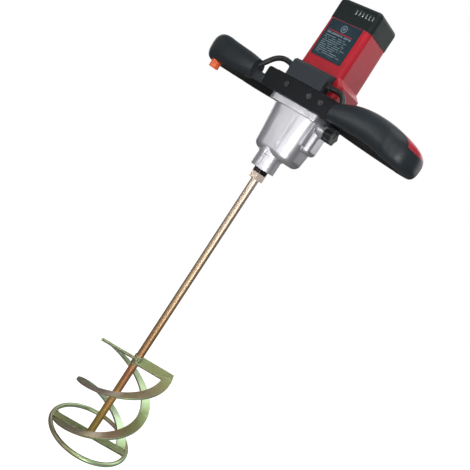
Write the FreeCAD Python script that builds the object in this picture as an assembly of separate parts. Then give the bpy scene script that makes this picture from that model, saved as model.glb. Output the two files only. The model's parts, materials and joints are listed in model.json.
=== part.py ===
import FreeCAD, Part
import math
import os

V = FreeCAD.Vector

# Two-handled electric mixer for paint and plaster. Millimetres.
# Origin: centre of the neck's lower face. +Z runs up the tool, +X to its right, -Y is its front.

# Paddle
paddle_dia = 160.0
paddle_drop = 568.0
helix_height = 168.0
ring_bar_dia = 8.0
blade_width = 18.0
blade_thick = 3.5
arm_azimuth = 40.0
arm_width = 20.0
arm_pitch = 30.0
blade_turn = 352.0
lower_bar_width = 18.0
lower_bar_thick = 4.0
shaft_dia = 14.0
hex_collar_width = 24.0
hex_collar_height = 12.0
stud_length = 20.0

# Gearbox
neck_dia = 43.0
neck_length = 27.0
body_length = 80.0
body_base_width = 81.0
body_base_depth = 73.0
body_top_width = 94.0
body_top_depth = 84.0
body_shift = 14.0
bulge_height = 48.0
casting_wall = 4.0
flange_width = 104.0
flange_depth = 88.0
flange_thick = 11.0
flange_corner = 14.0
plate_thick = 9.0
opening_width = 78.0
opening_depth = 66.0

# Gears
motor_offset = 20.0
fast_module = 0.7
slow_module = 1.0
pinion_teeth = 12
fast_wheel_teeth = 48
output_teeth = 36
wheel_addendum = 0.75
backlash = 0.14

# Shafts and bearings
spindle_dia = 20.0
spindle_mid_dia = 16.0
spindle_top_dia = 12.0
counter_dia = 8.0
armature_dia = 8.0
running_gap = 0.05
air_gap = 0.3

# Selector
selector_y = 8.0
selector_z = 104.0
selector_boss_dia = 24.0
selector_knob_dia = 27.0
selector_stem_dia = 8.0

# Collar and control box
collar_height = 32.0
collar_width = 120.0
collar_bar_width = 154.0
collar_front = 38.0
collar_back = 58.0
bore_width = 84.0
bore_depth = 72.0
bore_shift = 17.0
box_width = 74.0
box_height = 26.0
box_depth = 22.0
box_slope = 7.0
box_wall = 2.5
gland_rise_left = 17.5
gland_rise_right = 13.0
lead_dia = 9.0

# Motor
motor_width = 84.0
motor_depth = 72.0
motor_draft = 3.0
motor_height = 116.0
motor_corner = 9.0
motor_wall = 3.2
base_width = 107.0
base_height = 26.0
flare_height = 9.0
cap_height = 36.0
cap_overhang = 0.5
cap_front_slots = 6
cap_back_slots = 9
slot_pitch = 6.6
stator_height = 48.0
armature_core_dia = 40.0
label_width = 63.0
label_height = 64.0

# Handles
handle_span = 454.0
limb_y = 33.0
loop_radius = 36.0
grip_wall = 3.0
trigger_length = 50.0
trigger_drop = 4.0
trigger_width = 16.0
lock_dia = 18.0

# Levels up the tool
z_body = neck_length
z_flange = z_body + body_length
z_collar = z_flange + flange_thick
z_mid = z_collar + collar_height / 2
z_motor = z_collar + collar_height
z_label = z_motor + motor_height - label_height - 1
z_cap = z_motor + motor_height
z_ring = -paddle_drop
z_arm = z_ring + helix_height
hex_drop = 8.0
z_floor = z_body + 6.0
z_plate_top = z_collar + plate_thick

# Gear centres
fast_centres = fast_module * (pinion_teeth + fast_wheel_teeth) / 2
slow_centres = slow_module * (pinion_teeth + output_teeth) / 2
counter_y = (slow_centres ** 2 - fast_centres ** 2 + motor_offset ** 2) / (2 * motor_offset)
counter_x = -math.sqrt(slow_centres ** 2 - counter_y ** 2)

# Bearings, each (outside diameter, width, lowest level)
lower_race = (neck_dia - 6, 9.0, 8.0)
upper_race = (spindle_top_dia + 12, 6.0, z_collar + 0.5)
counter_race_low = (counter_dia + 11, 6.0, z_floor + 1)
counter_race_high = (counter_dia + 11, 6.0, z_collar + 0.5)
armature_race_low = (armature_dia + 14, 7.0, z_plate_top + 2)
armature_race_high = (armature_dia + 14, 7.0, z_cap - 9)


def box(x0, x1, y0, y1, z0, z1):
    return Part.makeBox(x1 - x0, y1 - y0, z1 - z0, V(x0, y0, z0))


def post(dia, z0, z1, x=0.0, y=0.0):
    return Part.makeCylinder(dia / 2, z1 - z0, V(x, y, z0))


def rod(dia, start, end):
    axis = end - start
    return Part.makeCylinder(dia / 2, axis.Length, start, axis)


def tube(outer, inner, z0, z1, x=0.0, y=0.0):
    return post(outer, z0, z1, x, y).cut(post(inner, z0, z1, x, y))


def rounded(width, depth, corner, z0, z1, y=0.0):
    """Upright block centred on x = 0 and the given y, with rounded upright edges."""
    block = box(-width / 2, width / 2, y - depth / 2, y + depth / 2, z0, z1)
    upright = [e for e in block.Edges if abs(e.Vertexes[0].Z - e.Vertexes[1].Z) > 1e-6]
    return block.makeFillet(corner, upright)


def rounded_wire(width, depth, corner, z, y=0.0):
    foot = rounded(width, depth, corner, z, z + 1, y)
    face = [f for f in foot.Faces if abs(f.CenterOfMass.z - z) < 1e-6][0]
    return face.OuterWire


def tapered(low, high, z0, z1, y):
    """Loft between two rounded outlines, each (width, depth, corner)."""
    return Part.makeLoft([rounded_wire(*low, z0, y), rounded_wire(*high, z1, y)], True, True)


def hexagon(width, z0, z1):
    radius = width / math.sqrt(3)
    corners = [V(radius * math.cos(math.radians(a)), radius * math.sin(math.radians(a)), z0)
               for a in range(0, 361, 60)]
    return Part.Face(Part.makePolygon(corners)).extrude(V(0, 0, z1 - z0))


def flank_angle(teeth, module, radius):
    """Half the angle a tooth spans at a radius, thinned for backlash."""
    pitch = module * teeth / 2
    base = pitch * math.cos(math.radians(20))
    at_pitch = math.tan(math.radians(20)) - math.radians(20)
    roll = math.acos(min(1.0, base / max(radius, base)))
    half = math.pi / (2 * teeth) - backlash / (4 * pitch)
    return half + at_pitch - (math.tan(roll) - roll)


def toothed(teeth, module, addendum, dedendum, phase, x, y, z0, z1):
    """Spur gear with a tooth centred on the phase angle."""
    pitch = module * teeth / 2
    base = pitch * math.cos(math.radians(20))
    tip = pitch + addendum * module
    root = pitch - dedendum * module
    start = max(base, root)

    def at(radius, angle):
        return V(x + radius * math.cos(angle), y + radius * math.sin(angle), z0)

    edges = []
    step = 2 * math.pi / teeth
    for tooth in range(teeth):
        middle = phase + tooth * step
        wide = flank_angle(teeth, module, start)
        halfway = (start + tip) / 2
        mid = flank_angle(teeth, module, halfway)
        thin = flank_angle(teeth, module, tip)
        if root < base:
            edges.append(Part.LineSegment(at(root, middle - wide), at(start, middle - wide)).toShape())
        rise = (at(start, middle - wide), at(halfway, middle - mid), at(tip, middle - thin))
        fall = (at(tip, middle + thin), at(halfway, middle + mid), at(start, middle + wide))
        crown = (at(tip, middle - thin), at(tip, middle), at(tip, middle + thin))
        edges.append(Part.Arc(*rise).toShape())
        edges.append(Part.Arc(*crown).toShape())
        edges.append(Part.Arc(*fall).toShape())
        if root < base:
            edges.append(Part.LineSegment(at(start, middle + wide), at(root, middle + wide)).toShape())
        valley = (at(root, middle + wide), at(root, middle + step / 2), at(root, middle + step - wide))
        edges.append(Part.Arc(*valley).toShape())
    return Part.Face(Part.Wire(edges)).extrude(V(0, 0, z1 - z0))


def bearing(race, bore, x=0.0, y=0.0):
    """Ball bearing drawn as one ring with a groove on each side between its races."""
    outer, width, z = race
    ring = tube(outer, bore + 2 * running_gap, z, z + width, x, y)
    middle = (outer + bore) / 2
    groove = (outer - bore) / 8
    for low in (z, z + width - 0.8):
        ring = ring.cut(tube(middle + groove, middle - groove, low, low + 0.8, x, y))
    return ring


def screw(head_dia, head_height, shank_dia, length, seat, direction):
    """Cap screw: the seat is the underside of the head, the shank runs along the direction."""
    way = V(direction).normalize()
    head = rod(head_dia, seat - way * head_height, seat)
    shank = rod(shank_dia, seat, seat + way * length)
    socket = rod(head_dia * 0.45, seat - way * head_height, seat - way * head_height * 0.4)
    return head.cut(socket).fuse(shank).removeSplitter()


def screw_room(head_dia, head_height, shank_dia, length, seat, direction, clearance=0.5):
    way = V(direction).normalize()
    room = rod(head_dia + 2 * clearance, seat - way * (head_height + 8), seat)
    return room.fuse(rod(shank_dia, seat, seat + way * length))


# Paddle

def mixing_shaft():
    return post(shaft_dia, z_ring - lower_bar_thick / 2, -hex_drop - hex_collar_height)


def hex_collar():
    nut = hexagon(hex_collar_width, -hex_drop - hex_collar_height, -hex_drop)
    return nut.fuse(post(shaft_dia, -hex_drop, stud_length - hex_drop)).removeSplitter()


def mixing_ring():
    torus = Part.makeTorus(paddle_dia / 2 - ring_bar_dia / 2, ring_bar_dia / 2)
    torus.translate(V(0, 0, z_ring))
    return torus


def lower_bar():
    reach = paddle_dia / 2 - ring_bar_dia / 2
    half = lower_bar_thick / 2
    bar = box(-reach, reach, -lower_bar_width / 2, lower_bar_width / 2, z_ring - half, z_ring + half)
    bar.rotate(V(0, 0, 0), V(0, 0, 1), arm_azimuth)
    return bar.cut(mixing_ring()).cut(mixing_shaft())


def top_arm():
    reach = paddle_dia / 2 - ring_bar_dia
    arms = tube(shaft_dia + 3, shaft_dia, z_arm - arm_width / 2 + 2, z_arm + arm_width / 2 - 2)
    for turn in (0, 180):
        half = box(0, reach, -arm_width / 2, arm_width / 2, z_arm - blade_thick / 2, z_arm + blade_thick / 2)
        half.rotate(V(0, 0, z_arm), V(1, 0, 0), arm_pitch)
        half.rotate(V(0, 0, 0), V(0, 0, 1), arm_azimuth + turn)
        arms = arms.fuse(half)
    rim = tube(3 * paddle_dia, 2 * reach, z_arm - arm_width, z_arm + arm_width)
    return arms.cut(mixing_shaft()).cut(rim).removeSplitter()


def helical_blade(turn):
    outer = paddle_dia / 2 - ring_bar_dia + 0.6
    centre = outer - blade_width / 2
    rise = helix_height + 1
    pitch = rise * 360 / blade_turn
    spine = Part.makeHelix(pitch, rise, centre)
    slope = math.atan(pitch / (2 * math.pi * centre))
    along = V(0, -math.sin(slope), math.cos(slope))
    across = V(1, 0, 0)
    start = V(centre, 0, 0)
    corners = []
    for u, w in ((-1, -1), (1, -1), (1, 1), (-1, 1), (-1, -1)):
        corners.append(start + across * (u * blade_width / 2) + along * (w * blade_thick / 2))
    band = Part.Wire(spine).makePipeShell([Part.makePolygon(corners)], True, True)
    band.translate(V(0, 0, z_ring - 1))
    band.rotate(V(0, 0, 0), V(0, 0, 1), arm_azimuth + turn + 360 - blade_turn)
    band = band.cut(mixing_ring()).cut(lower_bar()).cut(top_arm())
    return max(band.Solids, key=lambda s: s.Volume)


# Output spindle and gears

def output_spindle():
    grip = hexagon(hex_collar_width, -hex_drop, -0.5)
    solid = grip.fuse(post(spindle_dia, -0.5, neck_length - 1))
    solid = solid.fuse(post(spindle_mid_dia, neck_length - 1, z_floor + 31))
    solid = solid.fuse(post(spindle_top_dia, z_floor + 31, z_collar + 6))
    return solid.cut(post(shaft_dia, -hex_drop, stud_length - hex_drop + 2)).removeSplitter()


def towards(x0, y0, x1, y1):
    return math.atan2(y1 - y0, x1 - x0)


def output_gear():
    phase = towards(0, 0, counter_x, counter_y) + math.pi / output_teeth
    gear = toothed(output_teeth, slow_module, wheel_addendum, 1.25, phase, 0, 0, z_floor + 15, z_floor + 29)
    hole_ring = slow_module * output_teeth / 2 * 0.66
    for k in range(6):
        angle = math.radians(60 * k)
        hole = post(4.0, z_floor, z_floor + 40, hole_ring * math.cos(angle), hole_ring * math.sin(angle))
        gear = gear.cut(hole)
    return gear.cut(post(spindle_mid_dia, z_floor, z_floor + 40))


def countershaft():
    root = slow_module * (pinion_teeth / 2 - 1)
    phase = towards(counter_x, counter_y, 0, 0)
    solid = toothed(pinion_teeth, slow_module, 1.0, 1.0, phase, counter_x, counter_y,
                    z_floor + 12, z_floor + 32)
    solid = solid.fuse(post(2 * root, z_floor + 32, z_collar - 6, counter_x, counter_y))
    solid = solid.fuse(post(counter_dia, z_floor + 1.4, z_floor + 12, counter_x, counter_y))
    solid = solid.fuse(post(counter_dia, z_collar - 6, z_collar + 6, counter_x, counter_y))
    return solid.removeSplitter()


def countershaft_wheel():
    root = slow_module * (pinion_teeth / 2 - 1)
    phase = towards(counter_x, counter_y, 0, motor_offset)
    z = z_collar - 25
    wheel = toothed(fast_wheel_teeth, fast_module, wheel_addendum, 1.25, phase, counter_x, counter_y, z, z + 8)
    for low in (z, z + 6):
        dish = tube(fast_module * fast_wheel_teeth - 5, 4 * root - 2, low, low + 2, counter_x, counter_y)
        wheel = wheel.cut(dish)
    return wheel.cut(post(2 * root, z, z + 8, counter_x, counter_y))


def armature_shaft():
    phase = towards(0, motor_offset, counter_x, counter_y) + math.pi / pinion_teeth
    z = z_collar - 27
    pinion = toothed(pinion_teeth, fast_module, 1.0, 1.0, phase, 0, motor_offset, z, z + 12)
    root = fast_module * (pinion_teeth / 2 - 1)
    solid = pinion.fuse(post(2 * root, z + 12, z_plate_top, 0, motor_offset))
    solid = solid.fuse(post(armature_dia, z_plate_top, z_cap - 2.5, 0, motor_offset))
    return solid.removeSplitter()


def armature_core():
    z0 = z_cap - 39 - stator_height
    z1 = z0 + stator_height
    core = post(armature_core_dia, z0, z1, 0, motor_offset)
    for k in range(12):
        angle = math.radians(30 * k)
        radius = armature_core_dia / 2
        slot = post(1.6, z0, z1, radius * math.cos(angle), motor_offset + radius * math.sin(angle))
        core = core.cut(slot)
    ends = post(armature_core_dia - 8, z0 - 8, z1 + 8, 0, motor_offset)
    ends = ends.makeFillet(3.0, [e for e in ends.Edges if len(e.Vertexes) == 1])
    return core.fuse(ends).cut(post(armature_dia, z0 - 9, z1 + 9, 0, motor_offset)).removeSplitter()


def commutator():
    z0 = z_cap - 30
    ring = post(26.0, z0, z0 + 16, 0, motor_offset)
    for k in range(24):
        bar = box(12.2, 14, -0.25, 0.25, z0, z0 + 14)
        bar.rotate(V(0, 0, 0), V(0, 0, 1), 15 * k)
        bar.translate(V(0, motor_offset, 0))
        ring = ring.cut(bar)
    return ring.cut(post(armature_dia, z0, z0 + 16, 0, motor_offset))


def cooling_fan():
    z0 = z_motor - 9
    fan = post(56.0, z0, z0 + 2, 0, motor_offset).fuse(post(16.0, z0, z0 + 12, 0, motor_offset))
    for k in range(11):
        vane = box(10, 27, -0.8, 0.8, z0 + 2, z0 + 12)
        vane.rotate(V(10, 0, 0), V(0, 0, 1), 28)
        vane.rotate(V(0, 0, 0), V(0, 0, 1), k * 360 / 11)
        vane.translate(V(0, motor_offset, 0))
        fan = fan.fuse(vane)
    rim = tube(90.0, 56.0, z0, z0 + 12, 0, motor_offset)
    return fan.cut(rim).cut(post(armature_dia, z0, z0 + 12, 0, motor_offset)).removeSplitter()


# Gearbox

def neck_seal():
    ring = tube(lower_race[0], spindle_dia + 2 * running_gap, 2.0, lower_race[2])
    return ring.cut(tube(spindle_dia + 9, spindle_dia + 4, 2.0, 3.5))


def flange_seats():
    inset = flange_corner * (1 - math.sqrt(0.5)) + 3
    x = flange_width / 2 - inset
    front = body_shift - flange_depth / 2 + inset
    back = body_shift + flange_depth / 2 - inset
    return [V(sx * x, y, z_flange + 3.2) for y in (front, back) for sx in (-1, 1)]


def flange_screw(seat):
    return screw(7.0, 3.0, 4.0, flange_thick + 11, seat, V(0, 0, 1))


def gearbox_housing():
    low = (body_base_width, body_base_depth, 30.0)
    high = (body_top_width, body_top_depth, 32.0)
    outer = tapered(low, high, z_body, z_flange, body_shift)
    brim = [e for e in outer.Edges if abs(e.BoundBox.ZMax - z_body) < 1e-4]
    outer = outer.makeFillet(13.0, brim)
    outer = outer.fuse(post(neck_dia, 0, neck_length - 2)).fuse(post(neck_dia + 3, neck_length - 2, z_body + 12))
    outer = outer.fuse(rounded(flange_width, flange_depth, flange_corner, z_flange, z_collar, body_shift))
    boss = rod(selector_boss_dia, V(20, selector_y, selector_z), V(62, selector_y, selector_z))
    rib = box(20, 33.5, -2.5, 2.5, z_flange - 40, z_flange)
    rib.rotate(V(0, 0, 0), V(0, 0, 1), -22)
    rib.translate(V(body_top_width / 2 - 32, body_shift - body_top_depth / 2 + 32, 0))
    bulge = rounded(34.0, 38.0, 12.0, z_flange - bulge_height, z_flange, selector_y + 9)
    foot = [e for e in bulge.Edges if abs(e.BoundBox.ZMax - z_flange + bulge_height) < 1e-4]
    bulge = bulge.makeFillet(8.0, foot)
    bulge.translate(V(body_top_width / 2 - 9, 0, 0))
    outer = outer.fuse(boss).fuse(rib).fuse(bulge)
    thin = 2 * casting_wall
    room = tapered((low[0] - thin, low[1] - thin, 26.0), (high[0] - thin, high[1] - thin, 28.0),
                   z_floor, z_flange, body_shift)
    room = room.fuse(rounded(opening_width, opening_depth, 18.0, z_flange - 1, z_collar, body_shift))
    seat = post(counter_race_low[0] + 6, z_body + 2, z_floor + 7, counter_x, counter_y)
    solid = outer.cut(room).fuse(seat)
    solid = solid.cut(post(counter_race_low[0], z_floor + 1, z_floor + 8, counter_x, counter_y))
    solid = solid.cut(post(lower_race[0], 2.0, lower_race[1] + lower_race[2]))
    solid = solid.cut(post(spindle_dia + 8, -1, z_floor + 1))
    stem = rod(selector_stem_dia + 2 * running_gap, V(30, selector_y, selector_z), V(63, selector_y, selector_z))
    solid = solid.cut(stem)
    for seat in flange_seats():
        solid = solid.cut(screw_room(7.0, 3.0, 4.0, 60, seat, V(0, 0, 1), 0.25))
    return solid.removeSplitter()


def bearing_plate():
    plate = rounded(bore_width, bore_depth, 14.0, z_collar, z_plate_top, bore_shift)
    plate = plate.fuse(post(armature_race_low[0] + 8, z_plate_top, z_plate_top + 9.5, 0, motor_offset))
    plate = plate.cut(post(upper_race[0], z_collar, z_collar + 6.5))
    plate = plate.cut(post(counter_race_high[0], z_collar, z_collar + 6.5, counter_x, counter_y))
    plate = plate.cut(post(11.0, z_collar, z_plate_top + 3, 0, motor_offset))
    plate = plate.cut(post(armature_race_low[0], z_plate_top + 2, z_plate_top + 10, 0, motor_offset))
    return plate.removeSplitter()


def selector_knob():
    way = V(1, 0, 0)
    centre = V(62.4, selector_y, selector_z)
    knob = rod(selector_knob_dia - 4, centre, centre + way * 16)
    for k in range(6):
        angle = math.radians(60 * k)
        radius = selector_knob_dia / 2 - 4
        side = centre + V(0, radius * math.cos(angle), radius * math.sin(angle))
        knob = knob.fuse(rod(8.0, side, side + way * 16))
    knob = knob.removeSplitter()
    rim = [e for e in knob.Edges if e.BoundBox.XMin > 78.3]
    knob = knob.makeFillet(1.2, rim)
    bar = box(76.9, 80, selector_y - 1.5, selector_y + 1.5, selector_z - 1, selector_z + 11)
    stem = rod(selector_stem_dia, V(45, selector_y, selector_z), centre)
    return knob.cut(bar).fuse(stem).removeSplitter()


# Motor

def motor_room(z0, z1):
    inside = 2 * motor_wall
    return rounded(motor_width - inside, motor_depth - inside, motor_corner - 3, z0, z1, motor_offset)


def motor_housing():
    step = z_motor + base_height
    waist = step + flare_height
    front = motor_offset - (motor_depth + motor_draft) / 2
    base_depth = collar_back + 1 - front
    base_y = front + base_depth / 2
    wide = (motor_width + motor_draft, motor_depth + motor_draft, motor_corner)
    base = rounded(base_width, base_depth, 10.0, z_motor, step, base_y)
    foot = rounded_wire(base_width, base_depth, 10.0, step, base_y)
    flare = Part.makeLoft([foot, rounded_wire(*wide, waist, motor_offset)], True, True)
    shell = tapered(wide, (motor_width, motor_depth, motor_corner), waist, z_cap, motor_offset)
    shell = shell.fuse(flare).fuse(base).cut(motor_room(z_motor - 1, z_cap + 1))
    for k in range(cap_back_slots):
        x = slot_pitch * (k - (cap_back_slots - 1) / 2)
        shell = shell.cut(box(x - 1.5, x + 1.5, motor_offset + 20, 150, waist + 5, waist + 21))
    return shell.removeSplitter()


def stator_core():
    z0 = z_cap - 39 - stator_height
    core = rounded(motor_width - 18, motor_depth - 2 * motor_wall, 3.0, z0, z0 + stator_height, motor_offset)
    core = core.cut(post(armature_core_dia + 1, z0, z0 + stator_height, 0, motor_offset))
    for side in (-1, 1):
        core = core.cut(field_coil(side))
    return core


def field_coil(side):
    z0 = z_cap - 39 - stator_height - 8
    z1 = z0 + stator_height + 16
    ring = box(22, 28, -25, 25, z0, z1).cut(box(22, 28, -18, 18, z0 + 7, z1 - 7))
    corners = [e for e in ring.Edges if abs(e.Vertexes[0].X - e.Vertexes[1].X) > 1
               and abs(e.Vertexes[0].Y) > 24]
    ring = ring.makeFillet(3.0, corners)
    ring.translate(V(0, motor_offset, 0))
    if side < 0:
        ring = ring.mirror(V(0, 0, 0), V(1, 0, 0))
    return ring


def brush_bridge():
    z0 = z_cap - 11
    plate = motor_room(z0, z0 + 4)
    for side in (-1, 1):
        for y in (-1, 1):
            vent = box(18, 30, 8, 26, z0, z0 + 4)
            if side < 0:
                vent = vent.mirror(V(0, 0, 0), V(1, 0, 0))
            if y < 0:
                vent = vent.mirror(V(0, 0, 0), V(0, 1, 0))
            vent.translate(V(0, motor_offset, 0))
            plate = plate.cut(vent)
    plate = plate.fuse(post(armature_race_high[0] + 8, z0, z0 + 12, 0, motor_offset))
    for side in (-1, 1):
        holder = box(13.3, 30, -4, 4, z0 - 12, z0)
        holder = holder.cut(box(16, 31, -2.5, 2.5, z0 - 10, z0 - 3))
        if side < 0:
            holder = holder.mirror(V(0, 0, 0), V(1, 0, 0))
        holder.translate(V(0, motor_offset, 0))
        plate = plate.fuse(holder)
    plate = plate.cut(post(armature_race_high[0], z0 + 2, z0 + 9, 0, motor_offset))
    plate = plate.cut(post(armature_dia + 3, z0 - 1, z0 + 10, 0, motor_offset))
    return plate.removeSplitter()


def motor_cap():
    grow = 2 * cap_overhang
    width = motor_width + grow
    depth = motor_depth + grow
    z1 = z_cap + cap_height
    outer = rounded(width, depth, motor_corner, z_cap, z1, motor_offset)
    brim = [e for e in outer.Edges if e.BoundBox.ZMin > z1 - 0.01]
    outer = outer.makeFillet(8.0, brim)
    inner = rounded(width - 6, depth - 6, motor_corner - 3, z_cap, z1 - 3, motor_offset)
    brim = [e for e in inner.Edges if e.BoundBox.ZMin > z1 - 3.01]
    inner = inner.makeFillet(5.0, brim)
    cap = outer.cut(inner)
    for k in range(cap_front_slots):
        x = slot_pitch * (k - 0.1)
        cap = cap.cut(box(x - 1.3, x + 1.3, -100, motor_offset, z1 - 19, z1 - 11))
    for k in range(cap_back_slots):
        x = slot_pitch * (k - (cap_back_slots - 1) / 2)
        cap = cap.cut(box(x - 1.5, x + 1.5, motor_offset, 150, z1 - 26, z1 - 10))
    return cap


def label_room():
    """Slab 0.6 thick lying on the housing's drafted front."""
    waist = z_motor + base_height + flare_height
    low = motor_offset - (motor_depth + motor_draft) / 2
    high = motor_offset - motor_depth / 2
    outline = [V(-60, low, waist), V(-60, high, z_cap), V(-60, high - 0.6, z_cap), V(-60, low - 0.6, waist),
               V(-60, low, waist)]
    return Part.Face(Part.makePolygon(outline)).extrude(V(120, 0, 0))


def nameplate():
    front = motor_offset - motor_depth / 2
    low = label_room()
    plate = box(-label_width / 2 - 2.5, label_width / 2 - 2.5, front - 3, front + 3, z_label, z_label + label_height)
    rim = [e for e in plate.Edges if abs(e.Vertexes[0].Y - e.Vertexes[1].Y) > 0.1]
    return plate.makeFillet(1.5, rim).common(low)


# Handles

def collar_seats():
    return [V(x, -collar_front + 2.5, z_mid + 2) for x in (-25.0, 25.0, 50.0)]


def collar_screw(seat):
    return screw(8.4, 2.5, 4.0, 12.0, seat, V(0, 1, 0))


def collar_bar():
    bar = box(-bar_end, bar_end, -collar_front, 22 - collar_front, z_collar, z_motor)
    upright = [e for e in bar.Edges if e.BoundBox.ZMax - e.BoundBox.ZMin > 1]
    bar = bar.makeFillet(7.0, upright)
    brim = [e for e in bar.Edges if e.BoundBox.ZMin > z_motor - 0.01]
    return bar.makeFillet(4.0, brim)


def handle_collar():
    depth = collar_front + collar_back
    middle = (collar_back - collar_front) / 2
    block = rounded(collar_width, depth, 10.0, z_collar, z_motor, middle)
    block = block.fuse(collar_bar()).removeSplitter()
    bore = rounded(bore_width, bore_depth, 14.0, z_collar - 1, z_motor + 1, bore_shift)
    block = block.cut(bore)
    for seat in collar_seats():
        block = block.cut(screw_room(8.4, 2.5, 4.0, 12.0, seat, V(0, 1, 0)))
    for seat in flange_seats():
        block = block.cut(rod(4.0, seat, seat + V(0, 0, flange_thick + 11)))
    return block.cut(lead(1)).cut(lead(-1))


def section(side, x, y, out_x, out_y, z, height, depth, shrink):
    """One upright rounded outline of a handle limb, 2.6-power oval."""
    points = []
    for k in range(16):
        angle = 2 * math.pi * k / 16
        c = math.cos(angle)
        s = math.sin(angle)
        u = math.copysign(abs(c) ** (2 / 2.6), c) * (depth / 2 - shrink)
        v = math.copysign(abs(s) ** (2 / 2.6), s) * (height / 2 - shrink)
        points.append(V(side * (x + out_x * u), y + out_y * u, z + v))
    curve = Part.BSplineCurve()
    curve.interpolate(points, PeriodicFlag=True)
    return Part.Wire([curve.toShape()])


bend_x = handle_span / 2 - loop_radius - 13
bend_y = loop_radius - limb_y
bar_end = collar_bar_width / 2
straight = bend_x - bar_end

# Each limb station: (share of the straight run or bend angle, rise above the collar's middle, height, depth)
right_front = [(0.0, -2.0, 28.0, 29.0), (0.3, 4.0, 40.0, 33.0), (0.68, 5.5, 45.0, 36.0)]
right_bend = [(-90, 1.5, 47.0, 36.0), (-45, -3.5, 45.0, 33.0), (0, -7.5, 39.0, 27.0),
              (45, -10.5, 30.0, 22.0), (90, -11.5, 25.0, 20.0)]
right_rear = [(0.5, -9.5, 23.0, 20.0), (0.0, -5.5, 23.0, 20.0)]
left_front = [(0.19, 0.0, 33.0, 30.0), (0.45, -0.7, 42.5, 34.0), (0.84, 0.5, 47.0, 36.0)]
left_bend = [(-90, 1.5, 49.0, 36.0), (-45, 1.5, 50.0, 34.0), (0, -2.0, 42.0, 28.0),
             (45, -6.5, 30.0, 22.0), (90, -9.5, 24.0, 20.0)]
left_rear = [(0.5, -11.0, 24.0, 20.0), (0.0, -9.5, 25.0, 20.0)]


def blended(stations, key):
    """Station values at a key, straight between the two stations around it."""
    for low, high in zip(stations, stations[1:]):
        if low[0] <= key <= high[0]:
            share = (key - low[0]) / (high[0] - low[0])
            return [p + share * (q - p) for p, q in zip(low[1:], high[1:])]


def loop(side, front, bend, rear, shrink=0.0, inset=0.0):
    """Handle loop as three lofts end to end: front limb, outer bend and rear limb."""
    front_wires = []
    for n, (share, rise, height, depth) in enumerate(front):
        x = bar_end + share * straight + (inset if n == 0 else 0.0)
        front_wires.append(section(side, x, -limb_y, 0, -1, z_mid + rise, height, depth, shrink))
    bend_wires = []
    for angle in range(-90, 91, 30):
        rise, height, depth = blended(bend, angle)
        c = math.cos(math.radians(angle))
        s = math.sin(math.radians(angle))
        x = bend_x + loop_radius * c
        bend_wires.append(section(side, x, bend_y + loop_radius * s, c, s, z_mid + rise, height, depth, shrink))
    rear_wires = []
    rear_end = collar_width / 2
    for share, rise, height, depth in rear:
        x = rear_end + share * (bend_x - rear_end)
        rear_wires.append(section(side, x, bend_y + loop_radius, 0, 1, z_mid + rise, height, depth, shrink))
    front_limb = Part.makeLoft(front_wires + bend_wires[:1], True, False)
    bend_limb = Part.makeLoft(bend_wires, True, False)
    rear_limb = Part.makeLoft(bend_wires[-1:] + rear_wires, True, False)
    return front_limb.fuse(bend_limb).fuse(rear_limb)


split_y = bend_y + 11


def front_half(shape):
    return shape.common(box(-400, 400, -200, split_y, 0, 400))


def rear_half(shape):
    return shape.common(box(-400, 400, split_y, 200, 0, 400))


def hollow_loop(side, front, bend, rear):
    outer = loop(side, front, bend, rear)
    inner = loop(side, front, bend, rear, grip_wall, 4.0)
    return outer.cut(inner)


trigger_x = -bar_end - 0.58 * straight
lock_x = -bend_x - 6
trigger_z = z_mid - 26


def trigger_slot():
    half = trigger_length / 2 + air_gap
    wide = trigger_width / 2 + air_gap
    return box(trigger_x - half, trigger_x + half, -limb_y - wide, -limb_y + wide, trigger_z - 5, z_mid)


def left_grip():
    outer = loop(-1, left_front, left_bend, left_rear)
    shell = front_half(hollow_loop(-1, left_front, left_bend, left_rear))
    neck = box(-bar_end - left_front[0][0] * straight - 2, -bar_end + 8, -limb_y - 5, -limb_y + 11, z_collar, z_collar + 16)
    ridge = [e for e in neck.Edges if abs(e.Vertexes[0].X - e.Vertexes[1].X) > 1 and e.Vertexes[0].Z > z_collar + 1]
    neck = neck.makeFillet(5.0, ridge)
    neck = neck.cut(collar_bar()).cut(loop(-1, left_front, left_bend, left_rear, grip_wall, 4.0))
    shell = shell.fuse(neck)
    hanger = box(trigger_x - 5, trigger_x + 5, -limb_y - 3, -limb_y + 3, z_mid + 12, z_mid + 40)
    shell = shell.fuse(hanger.common(outer))
    shell = shell.cut(trigger_slot())
    shell = shell.cut(post(lock_dia + 2 * air_gap, trigger_z - 10, z_mid - 8, lock_x, -limb_y))
    shell = shell.cut(lead_room(-1))
    return shell


def left_rear_limb():
    return rear_half(hollow_loop(-1, left_front, left_bend, left_rear))


def accent_region():
    corners = [V(bend_x - 18, -60, z_mid + 40), V(bend_x - 14, -60, z_mid + 20), V(bend_x + 8, -60, z_mid + 16),
               V(bend_x + 26, -60, z_mid + 9), V(bend_x + 60, -60, z_mid + 3), V(bend_x + 60, -60, z_mid + 40),
               V(bend_x - 18, -60, z_mid + 40)]
    return Part.Face(Part.makePolygon(corners)).extrude(V(0, 60 + split_y, 0))


def grip_accent():
    outer = loop(1, right_front, right_bend, right_rear)
    skin = outer.cut(loop(1, right_front, right_bend, right_rear, 1.6, 2.0))
    region = accent_region().common(box(0, 300, -limb_y - 3, split_y, 0, 400))
    pieces = skin.common(region)
    return max(pieces.Solids, key=lambda s: s.Volume)


def right_grip():
    shell = front_half(hollow_loop(1, right_front, right_bend, right_rear))
    shell = shell.cut(grip_accent()).cut(lead_room(1))
    return max(shell.Solids, key=lambda s: s.Volume)


def right_rear_limb():
    return rear_half(hollow_loop(1, right_front, right_bend, right_rear)).cut(cable_room())


inlet_z = z_mid - 12


def cable_room():
    return rod(13.0, V(bend_x - 8, bend_y + loop_radius, inlet_z), V(bend_x - 8, bend_y + 80, inlet_z))


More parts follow.
